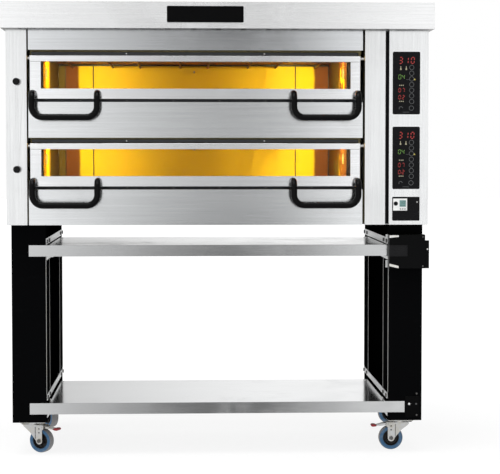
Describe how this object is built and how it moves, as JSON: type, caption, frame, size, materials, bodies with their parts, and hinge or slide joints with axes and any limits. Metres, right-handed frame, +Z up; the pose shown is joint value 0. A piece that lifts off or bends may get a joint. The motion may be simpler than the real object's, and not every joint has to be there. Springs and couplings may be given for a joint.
{
  "type": "stone-hearth deck oven on castor stand",
  "caption": "Stainless electric deck oven with stone hearths, glazed lift-up doors with looped handles and a side control column, on a black castor stand with shelves.",
  "frame": {"origin": "on the floor, under the centre of the whole object's box", "axes": "+Z up, the doors and controls face -Y, +X to the right as seen from the front"},
  "size_m": [1.714, 1.156, 1.88],
  "materials": {
    "casing_steel": "satin",
    "shelf_steel": "satin",
    "liner_steel": "satin",
    "header_steel": "satin",
    "hearth_stone": "matte",
    "element_sheath": "matte",
    "lamp_glass": "gloss",
    "mineral_wool": "matte",
    "bush_bronze": "satin",
    "plate_black": "gloss",
    "timer_white": "matte",
    "black_plastic": "satin",
    "electronics_plastic": "matte",
    "stand_black": "satin",
    "handle_black": "gloss",
    "bolt_zinc": "satin",
    "castor_zinc": "satin",
    "castor_tyre": "matte",
    "keypad_foil": "gloss",
    "door_glass": "gloss",
    "seal_fibre": "matte"
  },
  "bodies": {
    "oven": {"hood": "casing_steel", "flue_spigot": "casing_steel", "name_plate": "plate_black", "side_covers": "casing_steel", "rear_cover": "casing_steel", "base_pan": "casing_steel", "left_post": "casing_steel", "right_post": "casing_steel", "control_fascia": "casing_steel", "deck_aprons": "casing_steel", "upper_fascia": "casing_steel", "door_headers": "header_steel", "hearth_stones": "hearth_stone", "heating_elements": "element_sheath", "chamber_lamps": "lamp_glass", "thermocouples": "element_sheath", "insulation": "mineral_wool", "flue_duct": "liner_steel", "hinge_bushes": "bush_bronze", "power_panel": "plate_black", "timer_module": "timer_white", "control_electronics": "electronics_plastic", "fan_frame": "black_plastic", "cable_gland": "black_plastic", "stand_legs": "stand_black", "stand_side_panels": "stand_black", "side_rails": "shelf_steel", "stand_bolts": "bolt_zinc", "terminal_box": "stand_black", "terminal_box_cover": "stand_black", "castor_plates": "castor_zinc", "keypads": "keypad_foil", "lower_chamber": "liner_steel", "lower_shelf": "shelf_steel", "upper_chamber": "liner_steel", "upper_shelf": "shelf_steel"},
    "lower_door": {"lower_door_frame": "casing_steel", "lower_door_glass": "door_glass", "lower_door_gasket": "seal_fibre", "lower_hinge_pins": "castor_zinc", "lower_door_handles": "handle_black"},
    "upper_door": {"upper_door_frame": "casing_steel", "upper_door_glass": "door_glass", "upper_door_gasket": "seal_fibre", "upper_hinge_pins": "castor_zinc", "upper_door_handles": "handle_black"},
    "lower_damper_rod": {"lower_damper": "black_plastic"},
    "upper_damper_rod": {"upper_damper": "black_plastic"},
    "switch_button": {"main_switch": "black_plastic"},
    "fan": {"fan_rotor": "black_plastic"},
    "front_left_swivel": {"front_left_castor_fork": "castor_zinc"},
    "front_left_wheel": {"front_left_castor_wheel": "castor_tyre"},
    "front_left_pedal": {"front_left_brake_pedal": "castor_zinc"},
    "front_right_swivel": {"front_right_castor_fork": "castor_zinc"},
    "front_right_wheel": {"front_right_castor_wheel": "castor_tyre"},
    "front_right_pedal": {"front_right_brake_pedal": "castor_zinc"},
    "rear_left_swivel": {"rear_left_castor_fork": "castor_zinc"},
    "rear_left_wheel": {"rear_left_castor_wheel": "castor_tyre"},
    "rear_right_swivel": {"rear_right_castor_fork": "castor_zinc"},
    "rear_right_wheel": {"rear_right_castor_wheel": "castor_tyre"}
  },
  "joints": [
    {"name": "lower_door_hinge", "type": "hinge", "parent": "oven", "child": "lower_door", "pos_m": [-0.09, -0.482, 1.262], "axis": [-1, 0, 0], "range_deg": [0, 85]},
    {"name": "upper_door_hinge", "type": "hinge", "parent": "oven", "child": "upper_door", "pos_m": [-0.09, -0.482, 1.61], "axis": [-1, 0, 0], "range_deg": [0, 85]},
    {"name": "lower_damper_pull", "type": "slide", "parent": "oven", "child": "lower_damper_rod", "axis": [0, -1, 0], "range_m": [0, 0.05]},
    {"name": "upper_damper_pull", "type": "slide", "parent": "oven", "child": "upper_damper_rod", "axis": [0, -1, 0], "range_m": [0, 0.05]},
    {"name": "main_switch_press", "type": "slide", "parent": "oven", "child": "switch_button", "axis": [0, 1, 0], "range_m": [0, 0.002], "stiffness_N_per_m": 250, "springref_m": -0.001},
    {"name": "fan_spin", "type": "hinge", "parent": "oven", "child": "fan", "pos_m": [0.76, 0.5575, 1.12], "axis": [0, 1, 0], "continuous": true},
    {"name": "front_left_castor_swivel", "type": "hinge", "parent": "oven", "child": "front_left_swivel", "pos_m": [-0.76, -0.29, 0.12], "axis": [0, 0, 1], "continuous": true},
    {"name": "front_left_wheel_roll", "type": "hinge", "parent": "front_left_swivel", "child": "front_left_wheel", "pos_m": [-0.72556, -0.30606, 0.05], "axis": [0.4226, 0.9063, 0], "continuous": true},
    {"name": "front_left_brake", "type": "hinge", "parent": "front_left_swivel", "child": "front_left_pedal", "pos_m": [-0.71378, -0.31155, 0.1075], "axis": [0.4226, 0.9063, 0], "range_deg": [-12, 0]},
    {"name": "front_right_castor_swivel", "type": "hinge", "parent": "oven", "child": "front_right_swivel", "pos_m": [0.76, -0.29, 0.12], "axis": [0, 0, 1], "continuous": true},
    {"name": "front_right_wheel_roll", "type": "hinge", "parent": "front_right_swivel", "child": "front_right_wheel", "pos_m": [0.722, -0.29, 0.05], "axis": [0, -1, 0], "continuous": true},
    {"name": "front_right_brake", "type": "hinge", "parent": "front_right_swivel", "child": "front_right_pedal", "pos_m": [0.709, -0.29, 0.1075], "axis": [0, -1, 0], "range_deg": [-12, 0]},
    {"name": "rear_left_castor_swivel", "type": "hinge", "parent": "oven", "child": "rear_left_swivel", "pos_m": [-0.76, 0.363, 0.12], "axis": [0, 0, 1], "continuous": true},
    {"name": "rear_left_wheel_roll", "type": "hinge", "parent": "rear_left_swivel", "child": "rear_left_wheel", "pos_m": [-0.741, 0.33009, 0.05], "axis": [0.866, 0.5, 0], "continuous": true},
    {"name": "rear_right_castor_swivel", "type": "hinge", "parent": "oven", "child": "rear_right_swivel", "pos_m": [0.76, 0.363, 0.12], "axis": [0, 0, 1], "continuous": true},
    {"name": "rear_right_wheel_roll", "type": "hinge", "parent": "rear_right_swivel", "child": "rear_right_wheel", "pos_m": [0.798, 0.363, 0.05], "axis": [0, 1, 0], "continuous": true}
  ]
}
